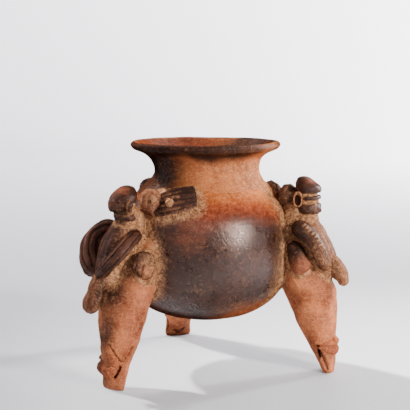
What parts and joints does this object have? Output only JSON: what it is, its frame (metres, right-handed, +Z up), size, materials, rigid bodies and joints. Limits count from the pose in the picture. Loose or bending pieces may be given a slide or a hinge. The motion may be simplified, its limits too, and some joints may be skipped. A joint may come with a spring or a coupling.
{
  "type": "tripod vase",
  "caption": "Globular clay vase with a flared rim on three hollow rattle legs, each carrying a modelled winged figure.",
  "frame": {"origin": "on the ground, under the middle of the whole vase's box; the bowl's own axis stands 10.6 mm towards -X and 19.6 mm towards -Y of it", "axes": "+Z up; the picture looks along +Y, with +X to its right"},
  "size_m": [0.2666, 0.2494, 0.2295],
  "materials": {
    "burnished_bowl": "burnished, smoke-darkened slip",
    "leg_clay": "matte terracotta with tan soil in its pores",
    "figure_clay": "matte red-brown clay, tan in its creases",
    "dark_slip": "worn dark brown slip",
    "pellet_clay": "plain fired clay"
  },
  "bodies": {
    "vase": {"bowl": "burnished_bowl", "neck_rim": "burnished_bowl", "leg_left": "leg_clay", "ankle_band_left": "leg_clay", "torso_left": "dark_slip", "head_left": "figure_clay", "cap_left": "dark_slip", "brow_left": "dark_slip", "jaw_left": "dark_slip", "nape_left": "dark_slip", "ear_left_1": "figure_clay", "ear_left_2": "figure_clay", "wing_left_1": "dark_slip", "wing_left_2": "dark_slip", "tail_left": "figure_clay", "paw_left_1": "figure_clay", "paw_left_2": "figure_clay", "bundle_left": "dark_slip", "stud_left": "figure_clay", "leg_right": "leg_clay", "ankle_band_right": "leg_clay", "torso_right": "figure_clay", "head_right": "figure_clay", "cap_right": "dark_slip", "brow_right": "dark_slip", "jaw_right": "dark_slip", "nape_right": "dark_slip", "ear_right_1": "figure_clay", "ear_right_2": "figure_clay", "wing_right_1": "dark_slip", "wing_right_2": "dark_slip", "tail_right": "figure_clay", "paw_right_1": "figure_clay", "paw_right_2": "figure_clay", "bundle_right": "dark_slip", "stud_right": "figure_clay", "leg_back": "leg_clay", "ankle_band_back": "leg_clay", "torso_back": "figure_clay", "head_back": "figure_clay", "cap_back": "dark_slip", "brow_back": "dark_slip", "jaw_back": "dark_slip", "nape_back": "dark_slip", "ear_back_1": "figure_clay", "ear_back_2": "figure_clay", "wing_back_1": "dark_slip", "wing_back_2": "dark_slip", "tail_back": "figure_clay", "paw_back_1": "figure_clay", "paw_back_2": "figure_clay", "bundle_back": "dark_slip", "stud_back": "figure_clay"},
    "pellet_left_1": {"pellet_left_1": "pellet_clay"},
    "pellet_left_2": {"pellet_left_2": "pellet_clay"},
    "pellet_right_1": {"pellet_right_1": "pellet_clay"},
    "pellet_right_2": {"pellet_right_2": "pellet_clay"},
    "pellet_back_1": {"pellet_back_1": "pellet_clay"},
    "pellet_back_2": {"pellet_back_2": "pellet_clay"}
  },
  "joints": [
    {"name": "rattle_left_1", "type": "slide", "parent": "vase", "child": "pellet_left_1", "axis": [0.1631, 0.2193, 0.9619], "range_m": [0, 0.085]},
    {"name": "rattle_left_2", "type": "slide", "parent": "vase", "child": "pellet_left_2", "axis": [0.1631, 0.2193, 0.9619], "range_m": [0, 0.085]},
    {"name": "rattle_right_1", "type": "slide", "parent": "vase", "child": "pellet_right_1", "axis": [-0.2629, 0.0656, 0.9626], "range_m": [0, 0.085]},
    {"name": "rattle_right_2", "type": "slide", "parent": "vase", "child": "pellet_right_2", "axis": [-0.2629, 0.0656, 0.9626], "range_m": [0, 0.085]},
    {"name": "rattle_back_1", "type": "slide", "parent": "vase", "child": "pellet_back_1", "axis": [0.0656, -0.2629, 0.9626], "range_m": [0, 0.085]},
    {"name": "rattle_back_2", "type": "slide", "parent": "vase", "child": "pellet_back_2", "axis": [0.0656, -0.2629, 0.9626], "range_m": [0, 0.085]}
  ]
}
